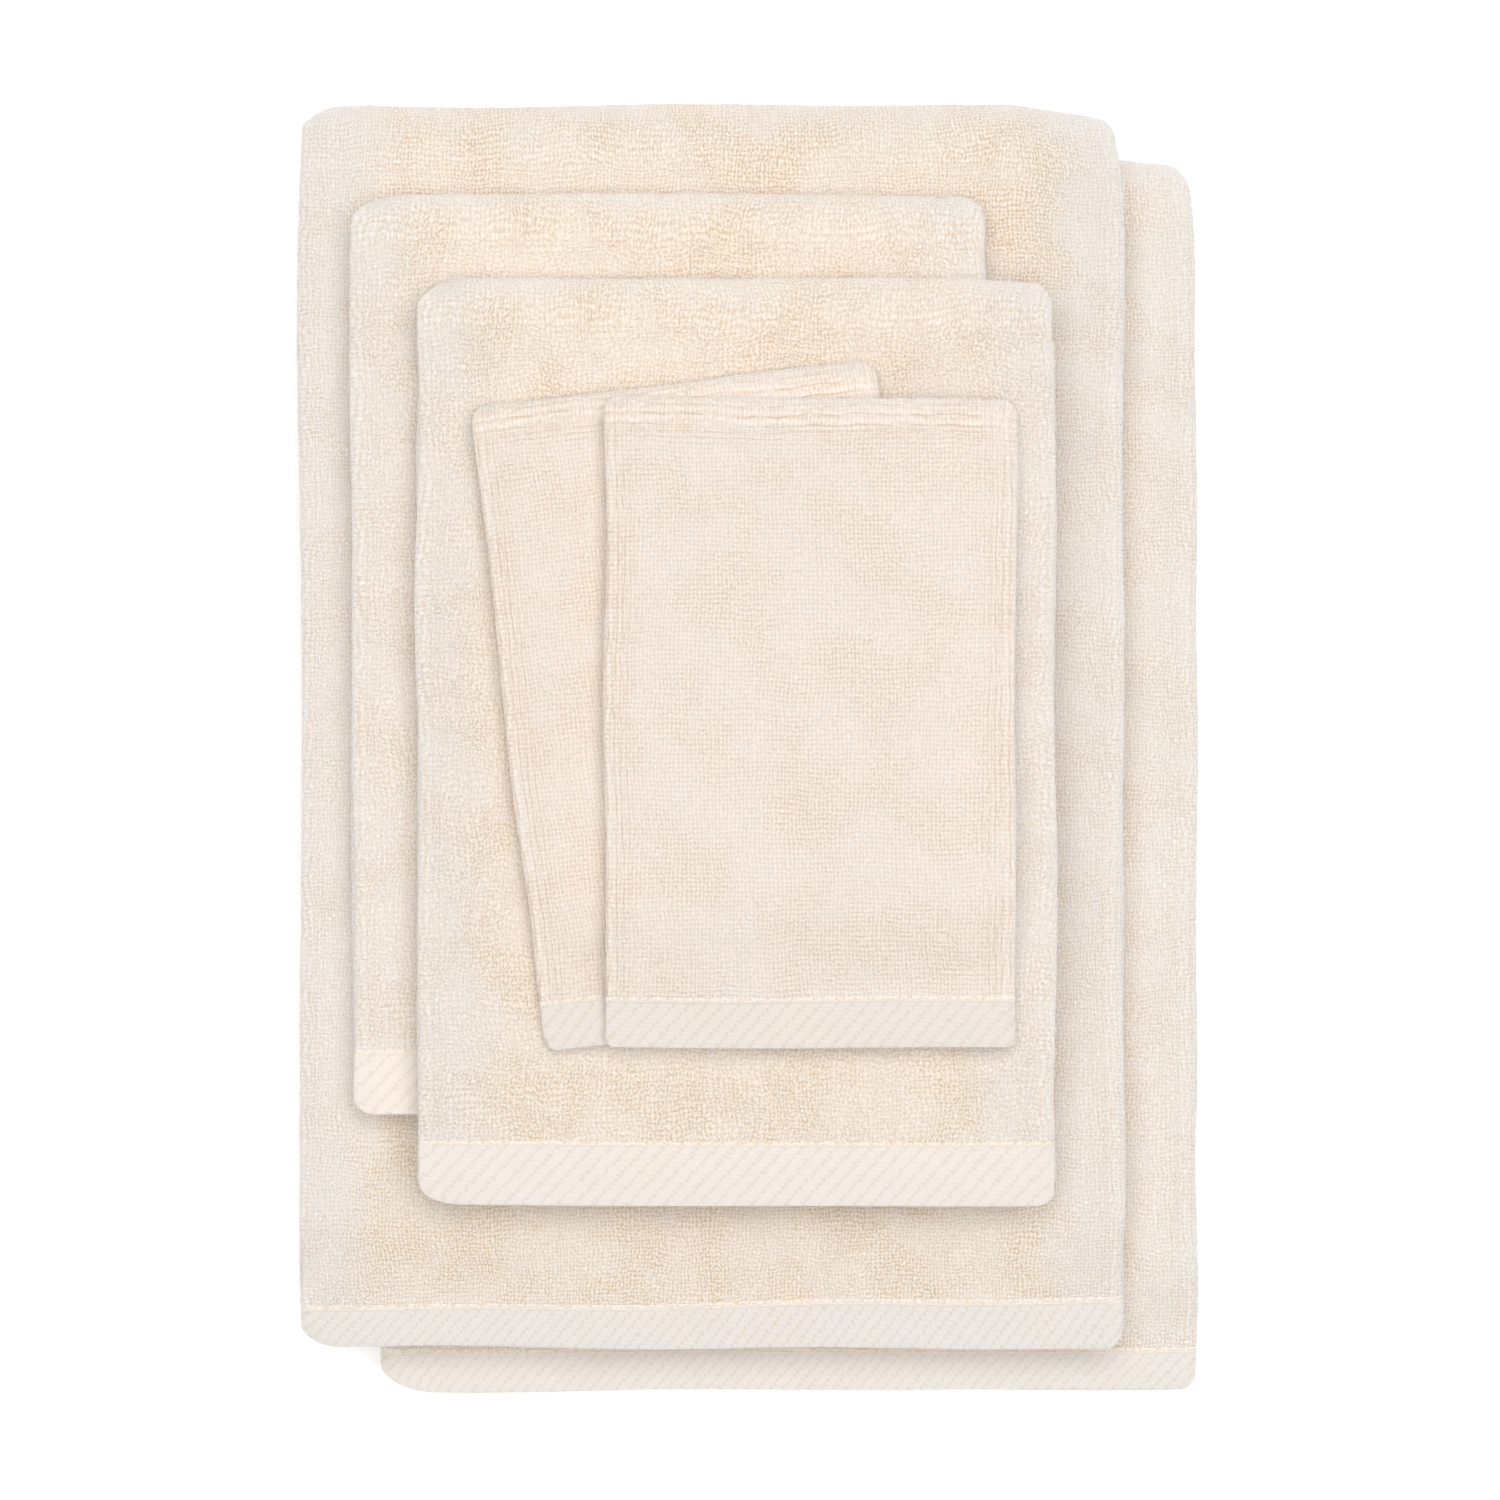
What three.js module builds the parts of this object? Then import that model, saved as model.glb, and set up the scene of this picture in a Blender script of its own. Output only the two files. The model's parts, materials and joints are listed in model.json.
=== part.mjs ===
// Bath towel set: two bath towels, two hand towels and two washcloths, folded and stacked flat.
//
// Millimetres, +Z up. +X runs across the towels and +Y from their hems to their folds. The origin
// is on the resting plane, under the middle of the stack.
//
// Every towel is one long cloth, folded in thirds across its width into a strip of three plies.
// The strip is then folded along its length into leaves: quarters for a bath towel, thirds for a
// hand towel and halves for a washcloth. A cloth point is (u, v, w): u across the cloth, v along
// it from the front hem, and w out of its outer face.
import * as THREE from 'three';

// ---- driving dimensions ----
const AIR = 0.4; // between two plies, two leaves and two stacked towels
const SEAM_GAP = 0.3; // between a hem and the terry beside it, and between a hem and its thread
const HEM_THICKNESS = 1;
const THREAD_WIDTH = 0.7;
const THREAD_THICKNESS = 0.25;
const THREAD_TO_TERRY = 1.2; // from the line of stitches to the hem's sewn edge
const EDGE_SETBACK = 2; // how far a folded-in long edge stops short of the crease beside it
const END_SETBACK = 3; // how far the leaves under the top one stop short of the front hem
const BEND_FACETS = 4; // flats in a half turn, an even number so that one corner is at its middle

const CLOTHS = {
  bath_towel: { width: 229, length: 347, plyPitch: 3, frontHem: 11.7, sideHem: 8, fold: 'quarters' },
  hand_towel: { width: 175, length: 255, plyPitch: 3, frontHem: 17.8, sideHem: 8, fold: 'thirds' },
  washcloth: { width: 112, length: 177.5, plyPitch: 2.5, frontHem: 13.8, sideHem: 6, fold: 'halves' },
};

// From the bottom of the stack up: where each towel's middle is, and how far it is turned.
const STACK = [
  { name: 'bath_towel_lower', cloth: 'bath_towel', x: 10.7, y: -6.6, turn: 0 },
  { name: 'bath_towel_upper', cloth: 'bath_towel', x: -10.7, y: 6.6, turn: 0 },
  { name: 'hand_towel_lower', cloth: 'hand_towel', x: -22.3, y: 26.5, turn: 0 },
  { name: 'hand_towel_upper', cloth: 'hand_towel', x: -3.7, y: 2.1, turn: 0 },
  { name: 'washcloth_lower', cloth: 'washcloth', x: -10.1, y: 12.4, turn: 6.7 },
  { name: 'washcloth_upper', cloth: 'washcloth', x: 16.4, y: 7.4, turn: 0, opens: true },
];

const TERRY_COLOUR = 0xf0e4d6;
const HEM_COLOUR = 0xf3e9df;
const THREAD_COLOUR = 0xe6d6c1;
const COTTON_ROUGHNESS = 0.95;

// ---- fold paths ----
// A path is a chain of straight runs and half turns in a plane. Its offset side is on its left.
const run = (length) => ({ length });
const turnLeft = (radius) => ({ radius, sense: 1, length: Math.PI * radius });
const turnRight = (radius) => ({ radius, sense: -1, length: Math.PI * radius });

function leftOf(heading) {
  return new THREE.Vector2(-Math.sin(heading), Math.cos(heading));
}

/** The point a distance s into one span of a path, moved to the path's left by offset. */
function pointInSpan(span, s, offset) {
  if (!span.radius) {
    const ahead = new THREE.Vector2(Math.cos(span.heading), Math.sin(span.heading));
    return span.at.clone().addScaledVector(ahead, s).addScaledVector(leftOf(span.heading), offset);
  }
  const centre = span.at.clone().addScaledVector(leftOf(span.heading), span.sense * span.radius);
  const heading = span.heading + (span.sense * s) / span.radius;
  return centre.addScaledVector(leftOf(heading), offset - span.sense * span.radius);
}

function foldPath(start, heading, moves) {
  const spans = [];
  let at = start;
  let from = 0;
  for (const move of moves) {
    const span = { ...move, at, heading, from };
    spans.push(span);
    at = pointInSpan(span, span.length, 0);
    heading += span.radius ? span.sense * Math.PI : 0;
    from += span.length;
  }
  return { spans, length: from };
}

function pointOnPath(path, s, offset) {
  const span = path.spans.findLast((candidate) => candidate.from <= s) ?? path.spans[0];
  return pointInSpan(span, s - span.from, offset);
}

/** The places between from and to where a faceted cloth turns, with both ends. */
function creaseLines(path, from, to) {
  const turns = path.spans.flatMap((span) => {
    const steps = span.radius ? BEND_FACETS : 1;
    return Array.from({ length: steps }, (_, k) => span.from + (span.length * k) / steps);
  });
  return [from, ...turns.filter((s) => s > from && s < to), to];
}

// ---- the two folds of a towel ----
/** Thirds: the middle third is the outer face, with the first third tucked between the others. */
function foldAcross({ width, plyPitch }) {
  const halfPly = (plyPitch - AIR) / 2;
  const right = width / 2 - plyPitch - halfPly;
  const left = -width / 2 + plyPitch / 2 + halfPly;
  const sideThird = right - EDGE_SETBACK - left;
  return foldPath(new THREE.Vector2(right - EDGE_SETBACK, 0), Math.PI, [
    run(sideThird),
    turnRight(plyPitch / 2),
    run(right - left),
    turnRight(plyPitch),
    run(sideThird),
  ]);
}

/** Leaves: the front hem lies on top at the front, and the top leaf's fold is at the back. */
function foldAlong({ length, plyPitch, fold }) {
  const leafPitch = 3 * plyPitch;
  const front = -length / 2;
  const back = (leaves) => length / 2 - (leaves * leafPitch - AIR) / 2;
  const creaseFront = front + END_SETBACK + leafPitch - AIR / 2;
  if (fold === 'halves') {
    const run1 = back(2) - front;
    return foldPath(new THREE.Vector2(front, leafPitch / 2), 0, [
      run(run1),
      turnRight(leafPitch / 2),
      run(run1 - END_SETBACK),
    ]);
  }
  if (fold === 'thirds') {
    const hidden = back(3) - creaseFront;
    return foldPath(new THREE.Vector2(front, leafPitch), 0, [
      run(back(3) - front),
      turnRight(leafPitch),
      run(hidden),
      turnRight(leafPitch / 2),
      run(hidden - EDGE_SETBACK),
    ]);
  }
  const hidden = back(4) - creaseFront;
  return foldPath(new THREE.Vector2(front, 1.5 * leafPitch), 0, [
    run(back(4) - front),
    turnRight(1.5 * leafPitch),
    run(hidden),
    turnRight(leafPitch / 2),
    run(hidden),
    turnLeft(leafPitch / 2),
    run(back(4) - front - END_SETBACK),
  ]);
}

const LEAVES = { halves: 2, thirds: 3, quarters: 4 };

function foldedHeight({ plyPitch, fold }) {
  return LEAVES[fold] * 3 * plyPitch - AIR;
}

// ---- closed solids on the folded cloth ----
/** A closed mesh from its corners and its faces, turned so that the faces point out. */
function closedGeometry(corners, triangles) {
  const volume = triangles.reduce((sum, [a, b, c]) => {
    return sum + corners[a].dot(new THREE.Vector3().crossVectors(corners[b], corners[c])) / 6;
  }, 0);
  const facing = volume > 0 ? triangles : triangles.map(([a, b, c]) => [a, c, b]);
  const geometry = new THREE.BufferGeometry().setFromPoints(corners);
  geometry.setIndex(facing.flat());
  geometry.computeVertexNormals();
  return geometry;
}

const quad = (a, b, c, d) => [[a, b, c], [a, c, d]];

/** A patch of cloth between grid lines, from one height above its middle to another. */
function clothBlock(place, uLines, vLines, low, high) {
  const corners = [];
  for (const w of [low, high]) {
    for (const v of vLines) {
      for (const u of uLines) corners.push(place(u, v, w));
    }
  }
  const across = uLines.length;
  const layer = across * vLines.length;
  const at = (i, j, k) => k * layer + j * across + i;
  const lastU = across - 1;
  const lastV = vLines.length - 1;
  const triangles = [];
  for (let j = 0; j < lastV; j += 1) {
    for (let i = 0; i < lastU; i += 1) {
      triangles.push(...quad(at(i, j, 1), at(i + 1, j, 1), at(i + 1, j + 1, 1), at(i, j + 1, 1)));
      triangles.push(...quad(at(i, j + 1, 0), at(i + 1, j + 1, 0), at(i + 1, j, 0), at(i, j, 0)));
    }
    triangles.push(...quad(at(0, j, 0), at(0, j, 1), at(0, j + 1, 1), at(0, j + 1, 0)));
    triangles.push(...quad(at(lastU, j, 1), at(lastU, j, 0), at(lastU, j + 1, 0), at(lastU, j + 1, 1)));
  }
  for (let i = 0; i < lastU; i += 1) {
    triangles.push(...quad(at(i, 0, 0), at(i + 1, 0, 0), at(i + 1, 0, 1), at(i, 0, 1)));
    triangles.push(...quad(at(i, lastV, 1), at(i + 1, lastV, 1), at(i + 1, lastV, 0), at(i, lastV, 0)));
  }
  return closedGeometry(corners, triangles);
}

/** A flat thread between an outer and an inner line of (u, v) points, closed on itself or not. */
function threadBlock(place, outer, inner, low, high, closed) {
  const corners = outer.flatMap(([u, v], n) => [
    place(u, v, low),
    place(...inner[n], low),
    place(...inner[n], high),
    place(u, v, high),
  ]);
  const stations = outer.length;
  const triangles = [];
  for (let n = 0; n < (closed ? stations : stations - 1); n += 1) {
    const here = 4 * n;
    const next = 4 * ((n + 1) % stations);
    for (let side = 0; side < 4; side += 1) {
      const other = (side + 1) % 4;
      triangles.push(...quad(here + side, here + other, next + other, next + side));
    }
  }
  if (!closed) {
    const end = 4 * (stations - 1);
    triangles.push(...quad(3, 2, 1, 0), ...quad(end, end + 1, end + 2, end + 3));
  }
  return closedGeometry(corners, triangles);
}

// ---- the pieces of one towel ----
/** The thread's line round the hems, at a distance inside the line that it is sewn on. */
function stitchLine(towel, inset, part) {
  const { across, along, cloth } = towel;
  const left = cloth.sideHem - THREAD_TO_TERRY - inset;
  const right = across.length - left;
  const front = cloth.frontHem - THREAD_TO_TERRY - inset;
  const back = along.length - front;
  const from = Math.max(front, part.from);
  const to = Math.min(back, part.to);
  const upRight = creaseLines(along, from, to).map((v) => [right, v]);
  const downLeft = creaseLines(along, from, to).reverse().map((v) => [left, v]);
  const frontSide = creaseLines(across, left, right).slice(1, -1).map((u) => [u, front]);
  const backSide = creaseLines(across, left, right).slice(1, -1).reverse().map((u) => [u, back]);
  if (part.from > 0) return [...upRight, ...backSide, ...downLeft];
  return [...downLeft, ...frontSide, ...upRight, ...(part.to < along.length ? [] : backSide)];
}

const terryMaterial = () => new THREE.MeshStandardMaterial({
  color: TERRY_COLOUR, roughness: COTTON_ROUGHNESS, metalness: 0,
});
const hemMaterial = () => new THREE.MeshStandardMaterial({
  color: HEM_COLOUR, roughness: COTTON_ROUGHNESS, metalness: 0,
});
const threadMaterial = () => new THREE.MeshStandardMaterial({
  color: THREAD_COLOUR, roughness: COTTON_ROUGHNESS, metalness: 0,
});

function namedMesh(name, geometry, material) {
  const mesh = new THREE.Mesh(geometry, material);
  mesh.name = name;
  return mesh;
}

/** A part of the cloth's length, from one v to another: its terry, side hems and thread. */
function lengthwisePieces(towel, part) {
  const { across, along, cloth, name } = towel;
  const place = (u, v, w) => towel.place(u, v, w).add(new THREE.Vector3(0, 0, part.lift));
  const halfPly = (cloth.plyPitch - AIR) / 2;
  const from = Math.max(part.from, cloth.frontHem + SEAM_GAP);
  const to = Math.min(part.to, along.length - cloth.frontHem - SEAM_GAP);
  const vLines = creaseLines(along, from, to);
  const block = (u0, u1, half) => clothBlock(place, creaseLines(across, u0, u1), vLines, -half, half);
  const sewn = cloth.sideHem + SEAM_GAP;
  const threadLow = HEM_THICKNESS / 2 + SEAM_GAP;
  const thread = threadBlock(
    place,
    stitchLine(towel, THREAD_WIDTH / 2, part),
    stitchLine(towel, -THREAD_WIDTH / 2, part),
    threadLow,
    threadLow + THREAD_THICKNESS,
    part.to - part.from >= along.length,
  );
  const label = (piece) => `${name}_${piece}${part.label}`;
  return [
    namedMesh(label('terry_panel'), block(sewn, across.length - sewn, halfPly), terryMaterial()),
    namedMesh(label('side_hem_a'), block(0, cloth.sideHem, HEM_THICKNESS / 2), hemMaterial()),
    namedMesh(
      label('side_hem_b'),
      block(across.length - cloth.sideHem, across.length, HEM_THICKNESS / 2),
      hemMaterial(),
    ),
    namedMesh(label('hem_stitching'), thread, threadMaterial()),
  ];
}

/** A hem across one end of the cloth, from one v to another. */
function endHem(towel, piece, from, to, lift) {
  const place = (u, v, w) => towel.place(u, v, w).add(new THREE.Vector3(0, 0, lift));
  const uLines = creaseLines(towel.across, 0, towel.across.length);
  const geometry = clothBlock(place, uLines, [from, to], -HEM_THICKNESS / 2, HEM_THICKNESS / 2);
  return namedMesh(`${towel.name}_${piece}`, geometry, hemMaterial());
}

/** One towel, folded, as a group of its pieces with the middle of its thickness at z = 0. */
function foldedTowel({ name, cloth: kind, opens }) {
  const cloth = CLOTHS[kind];
  const across = foldAcross(cloth);
  const along = foldAlong(cloth);
  const place = (u, v, w) => {
    const ply = pointOnPath(across, u, w);
    const leaf = pointOnPath(along, v, ply.y);
    return new THREE.Vector3(ply.x, leaf.x, leaf.y);
  };
  const towel = { name, cloth, across, along, place };
  const crease = along.spans[0].length + along.spans[1].length / 2;
  const parts = opens
    ? [
      { label: '_top', from: 0, to: crease, lift: AIR / 2 },
      { label: '_base', from: crease, to: along.length, lift: -AIR / 2 },
    ]
    : [{ label: '', from: 0, to: along.length, lift: 0 }];
  const innerHemFrom = along.length - cloth.frontHem;
  const group = new THREE.Group();
  group.add(
    ...parts.flatMap((part) => lengthwisePieces(towel, part)),
    endHem(towel, 'front_hem', 0, cloth.frontHem, parts[0].lift),
    endHem(towel, 'inner_hem', innerHemFrom, along.length, parts.at(-1).lift),
  );
  return group;
}

// ---- the stack ----
function towelStack() {
  const stack = new THREE.Group();
  let height = 0;
  for (const item of STACK) {
    const towel = foldedTowel(item);
    const thickness = foldedHeight(CLOTHS[item.cloth]) + (item.opens ? AIR : 0);
    towel.position.set(item.x, item.y, height + thickness / 2);
    towel.rotation.z = THREE.MathUtils.degToRad(item.turn);
    stack.add(towel);
    height += thickness + AIR;
  }
  return stack;
}

export default towelStack();
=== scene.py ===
"""A folded bath towel set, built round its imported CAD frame.

Metres, +Z up. Every towel is one long cloth, folded in thirds across its width into a strip of
three plies, and the strip is folded along its length into leaves. A cloth point is (u, v, w): u
across the cloth, v along it from the front hem, and w out of its outer face. The pieces are made
on the cloth, folded, and then settled: plies press flat at the hems, corners round off, and a
towel that reaches past the one below it sags over the edge.
"""

import json
import math
from collections import namedtuple

import bpy
import numpy as np
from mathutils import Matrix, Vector

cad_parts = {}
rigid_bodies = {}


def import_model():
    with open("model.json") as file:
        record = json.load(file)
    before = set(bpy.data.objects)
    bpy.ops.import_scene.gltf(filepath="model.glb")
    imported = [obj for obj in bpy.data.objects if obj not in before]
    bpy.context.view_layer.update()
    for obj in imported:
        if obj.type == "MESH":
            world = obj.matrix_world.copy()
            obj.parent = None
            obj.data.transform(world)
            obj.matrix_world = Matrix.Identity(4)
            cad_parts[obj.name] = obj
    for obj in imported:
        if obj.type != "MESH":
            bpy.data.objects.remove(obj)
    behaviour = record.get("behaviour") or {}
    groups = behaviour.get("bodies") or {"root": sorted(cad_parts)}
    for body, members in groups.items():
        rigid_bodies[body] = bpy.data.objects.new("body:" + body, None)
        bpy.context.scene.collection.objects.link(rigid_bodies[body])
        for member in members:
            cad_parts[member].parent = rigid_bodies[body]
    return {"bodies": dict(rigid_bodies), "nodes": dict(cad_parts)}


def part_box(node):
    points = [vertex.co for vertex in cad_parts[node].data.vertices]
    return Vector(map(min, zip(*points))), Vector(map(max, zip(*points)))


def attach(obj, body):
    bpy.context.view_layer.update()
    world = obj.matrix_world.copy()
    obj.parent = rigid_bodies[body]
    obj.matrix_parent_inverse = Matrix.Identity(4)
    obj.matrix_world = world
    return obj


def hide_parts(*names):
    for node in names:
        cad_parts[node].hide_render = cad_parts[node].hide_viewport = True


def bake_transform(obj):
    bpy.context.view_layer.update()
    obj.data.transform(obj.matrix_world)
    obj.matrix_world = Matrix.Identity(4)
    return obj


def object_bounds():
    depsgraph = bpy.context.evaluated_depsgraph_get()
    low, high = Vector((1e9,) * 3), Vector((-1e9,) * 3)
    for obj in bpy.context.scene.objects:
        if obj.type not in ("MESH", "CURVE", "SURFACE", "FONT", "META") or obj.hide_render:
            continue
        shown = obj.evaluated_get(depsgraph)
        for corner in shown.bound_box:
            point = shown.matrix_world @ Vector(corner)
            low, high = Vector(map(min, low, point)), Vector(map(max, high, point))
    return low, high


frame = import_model()
cad_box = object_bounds()

MM = 0.001
AIR = 0.4 * MM  # between two stacked towels
EDGE_SETBACK = 2 * MM  # how far a folded-in long edge stops short of the crease beside it
END_SETBACK = 3 * MM  # how far the leaves under the top one stop short of the front hem
THREAD_TO_TERRY = 1.2 * MM  # from the line of stitches to the hem's sewn edge
HEM_SQUASH = 0.5  # how much thinner the stacked plies are at the hems than in the terry
SETTLE_LENGTH = 26 * MM  # over which they thin, behind the hem
HEM_RISE_REACH = 45 * MM  # how far behind the hem line its slant is felt
PULL_REACH = (30 * MM, 41 * MM)  # how far from the corner the pull is felt, across and along
TINY = 1e-9

# The leaves lie on each other along the towel, and the lowest firm_leaves of them keep their
# thickness at the front hem. fine is the grid pitch of the outer face, and curl the tightest
# radius to which the towel bends over the edge of the one below.
CLOTHS = {
    "bath_towel": {"leaves": 4, "firm_leaves": 2, "side_hem": 8 * MM, "fine": 2.2 * MM, "curl": 60 * MM},
    "hand_towel": {"leaves": 3, "firm_leaves": 2, "side_hem": 8 * MM, "fine": 2.0 * MM, "curl": 38 * MM},
    "washcloth": {"leaves": 2, "firm_leaves": 0, "side_hem": 6 * MM, "fine": 1.6 * MM, "curl": 45 * MM},
}

# From the bottom up, with lengths in mm. Each corner is rounded by a quarter ellipse, its half
# axes given across and along the towel. The back right corner is drawn in by "pull", across and
# along, as well, and "hem_rise" is how far the front hem line climbs towards the right.
STACK = [
    {
        "name": "bath_towel_lower",
        "turn": 0.0,
        "corners": {
            "front_left": (17, 8),
            "front_right": (4, 5),
            "back_left": (10, 7),
            "back_right": (3, 4),
        },
        "pull": (3.3, 2.6),
    },
    {
        "name": "bath_towel_upper",
        "turn": 0.0,
        "corners": {
            "front_left": (11, 7),
            "front_right": (4, 5),
            "back_left": (12.5, 7),
            "back_right": (2.5, 3),
        },
        "pull": (3.1, 3.9),
        "hem_rise": 2.6,
    },
    {
        "name": "hand_towel_lower",
        "turn": 0.0,
        "corners": {
            "front_left": (6, 5),
            "front_right": (5, 5),
            "back_left": (14, 9),
            "back_right": (4, 5),
        },
        "pull": (0.6, 0.8),
    },
    {
        "name": "hand_towel_upper",
        "turn": 0.0,
        "corners": {
            "front_left": (11.5, 6),
            "front_right": (6, 3.5),
            "back_left": (12, 7.5),
            "back_right": (4.5, 7),
        },
        "pull": (0.8, 1.2),
    },
    {
        "name": "washcloth_lower",
        "turn": math.radians(6.7),
        "corners": {
            "front_left": (3.3, 6),
            "front_right": (3, 3),
            "back_left": (3, 4),
            "back_right": (4, 4),
        },
        "pull": (0.5, 0.5),
    },
    {
        "name": "washcloth_upper",
        "turn": 0.0,
        "corners": {
            "front_left": (2.5, 3),
            "front_right": (2.5, 2.5),
            "back_left": (3, 3.5),
            "back_right": (3, 3),
        },
        "pull": (0.3, 0.8),
    },
]


# ---- numbers ----
def smooth(t):
    """0 to 1 with level ends."""
    t = np.clip(t, 0, 1)
    return t * t * (3 - 2 * t)


class Waves:
    """A smooth random field from -1 to 1: a sum of plane waves, the same for the same seed."""

    def __init__(self, seed, wavelengths, count=10):
        rng = np.random.default_rng(seed)
        aim = rng.normal(size=(count, len(wavelengths)))
        aim /= np.linalg.norm(aim, axis=1, keepdims=True)
        stretch = rng.uniform(0.7, 1.4, size=(count, 1))
        self.rates = 2 * math.pi * aim * stretch / np.array(wavelengths)
        self.phases = rng.uniform(0, 2 * math.pi, size=count)

    def __call__(self, *coordinates):
        total = 0.0
        for rate, phase in zip(self.rates, self.phases):
            angle = phase
            for k, coordinate in zip(rate, coordinates):
                angle = angle + k * coordinate
            total = total + np.sin(angle)
        return total / math.sqrt(2 * len(self.phases))


# ---- fold paths ----
Span = namedtuple("Span", "begin length radius sense pitch at heading")
LEFT, RIGHT = 1, -1
SHORTEST = 1e-6  # a stretch of cloth shorter than this gets no grid line of its own
THIRDS_PITCH = (0.8 * MM, 1.1 * MM)  # grid pitches round the inner and the outer fold across,
CREASE_PITCH = (1.6 * MM, 1.8 * MM)  # and round the creases along that turn right and left
HIDDEN_ACROSS = 6  # how much coarser the grid is on the hidden plies than on the outer face
HIDDEN_ALONG = 3


class Path:
    """A chain of straight runs and half turns in a plane. Offsets go to its left.

    Each move is (length, radius, sense, pitch): radius 0 for a run, sense 1 to the left, and
    pitch the spacing of the cloth's grid lines on it.
    """

    def __init__(self, start, heading, moves):
        self.spans = []
        at = np.array(start, float)
        begin = 0.0
        for length, radius, sense, pitch in moves:
            span = Span(begin, length, radius, sense, pitch, at, heading)
            self.spans.append(span)
            x, y = self._in_span(span, np.array([length]), np.array([0.0]))
            at = np.array([x[0], y[0]])
            heading += sense * math.pi if radius else 0
            begin += length
        self.length = begin

    @staticmethod
    def _in_span(span, s, offset):
        """Where points of one span lie: s along it, and an offset to its left."""
        if not span.radius:
            cos, sin = math.cos(span.heading), math.sin(span.heading)
            return span.at[0] + s * cos - offset * sin, span.at[1] + s * sin + offset * cos
        reach = span.sense * span.radius
        centre = span.at + reach * np.array([-math.sin(span.heading), math.cos(span.heading)])
        angle = span.heading + s / reach
        return centre[0] - np.sin(angle) * (offset - reach), centre[1] + np.cos(angle) * (offset - reach)

    def at(self, s, offset):
        """Where points lie, as x and y: s along the path, and an offset to its left."""
        s, offset = np.broadcast_arrays(np.asarray(s, float), np.asarray(offset, float))
        x, y = np.empty(s.shape), np.empty(s.shape)
        begins = np.array([span.begin for span in self.spans])
        index = np.clip(np.searchsorted(begins, s, side="right") - 1, 0, len(begins) - 1)
        for i, span in enumerate(self.spans):
            here = index == i
            x[here], y[here] = self._in_span(span, s[here] - span.begin, offset[here])
        return x, y

    def lines(self, low, high, pitch_scale=1.0):
        """Grid lines from low to high, each stretch at its own pitch."""
        found = [low]
        for span in self.spans:
            start, end = max(span.begin, low), min(span.begin + span.length, high)
            if end - start > SHORTEST:
                steps = max(1, math.ceil((end - start) / (span.pitch * pitch_scale)))
                found.extend(np.linspace(start, end, steps + 1)[1:])
        return np.array(found)


def run(length, pitch):
    """A straight move."""
    return (length, 0.0, 0, pitch)


def turn(radius, sense, pitch):
    """A half turn."""
    return (math.pi * radius, radius, sense, pitch)


def fold_across(width, ply, fine):
    """Thirds: the middle third is the outer face, with the first third between the others."""
    half_ply = (ply - AIR) / 2
    right = width / 2 - ply - half_ply
    left = -width / 2 + ply / 2 + half_ply
    side_third = right - EDGE_SETBACK - left
    hidden = HIDDEN_ACROSS * fine
    return Path(
        (right - EDGE_SETBACK, 0),
        math.pi,
        [
            run(side_third, hidden),
            turn(ply / 2, RIGHT, THIRDS_PITCH[0]),
            run(right - left, fine),
            turn(ply, RIGHT, THIRDS_PITCH[1]),
            run(side_third, hidden),
        ],
    )


def fold_along(length, ply, leaves, fine):
    """Leaves: the front hem is on top at the front, and the top leaf's fold is at the back."""
    leaf = 3 * ply
    hidden = HIDDEN_ALONG * fine
    front = -length / 2
    back = length / 2 - (leaves * leaf - AIR) / 2
    crease_front = front + END_SETBACK + leaf - AIR / 2
    under = back - crease_front
    top = run(back - front, fine)
    outer = turn((leaves - 1) * leaf / 2, RIGHT, fine)
    crease = turn(leaf / 2, RIGHT, CREASE_PITCH[0])
    crease_back = turn(leaf / 2, LEFT, CREASE_PITCH[1])
    middle = run(under, hidden)
    lowest = run(back - front - END_SETBACK, hidden)
    moves = {
        2: [top, outer, lowest],
        3: [top, outer, middle, crease, run(under - EDGE_SETBACK, hidden)],
        4: [top, outer, middle, crease, middle, crease_back, lowest],
    }[leaves]
    return Path((front, (leaves - 1) * leaf / 2), 0.0, moves)


# ---- how a folded towel settles ----
GRID = 2 * MM
MARGIN = 12 * MM  # of the grid, past the stack
DRAPE_REACH = 45 * MM  # how far the sag beside an edge is worked out
LAST_CELL = 1.001  # keeps a sampled point short of the grid's last line
LUMPS = {"height": 0.55 * MM, "wavelengths": (38 * MM, 38 * MM)}
RIPPLES = {"height": 0.22 * MM, "wavelengths": (13 * MM, 13 * MM)}
SWAY = {"reach": (0.7 * MM, 0.6 * MM), "wavelengths": (90 * MM, 90 * MM, 16 * MM)}


class Ground:
    """The height of what is stacked so far, on a square grid that reaches past the towels."""

    def __init__(self, low, high):
        self.x = np.arange(low[0] - MARGIN, high[0] + MARGIN, GRID)
        self.y = np.arange(low[1] - MARGIN, high[1] + MARGIN, GRID)
        self.grid_x, self.grid_y = np.meshgrid(self.x, self.y, indexing="ij")
        self.height = np.zeros(self.grid_x.shape)

    def draped(self, curl):
        """The ground as a cloth that bends no tighter than the radius curl lies over it."""
        lying = self.height
        for axis in (0, 1):
            highest = lying
            for step in range(1, int(DRAPE_REACH / GRID)):
                drop = (step * GRID) ** 2 / (2 * curl)
                for shift in (step, -step):
                    highest = np.maximum(highest, np.roll(lying, shift, axis=axis) - drop)
            lying = highest
        return lying

    def sample(self, field, x, y):
        """field at (x, y), between its grid points."""
        i = np.clip((x - self.x[0]) / GRID, 0, len(self.x) - LAST_CELL)
        j = np.clip((y - self.y[0]) / GRID, 0, len(self.y) - LAST_CELL)
        i0, j0 = i.astype(int), j.astype(int)
        a, b = i - i0, j - j0
        low = field[i0, j0] * (1 - a) + field[i0 + 1, j0] * a
        high = field[i0, j0 + 1] * (1 - a) + field[i0 + 1, j0 + 1] * a
        return low * (1 - b) + high * b


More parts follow.
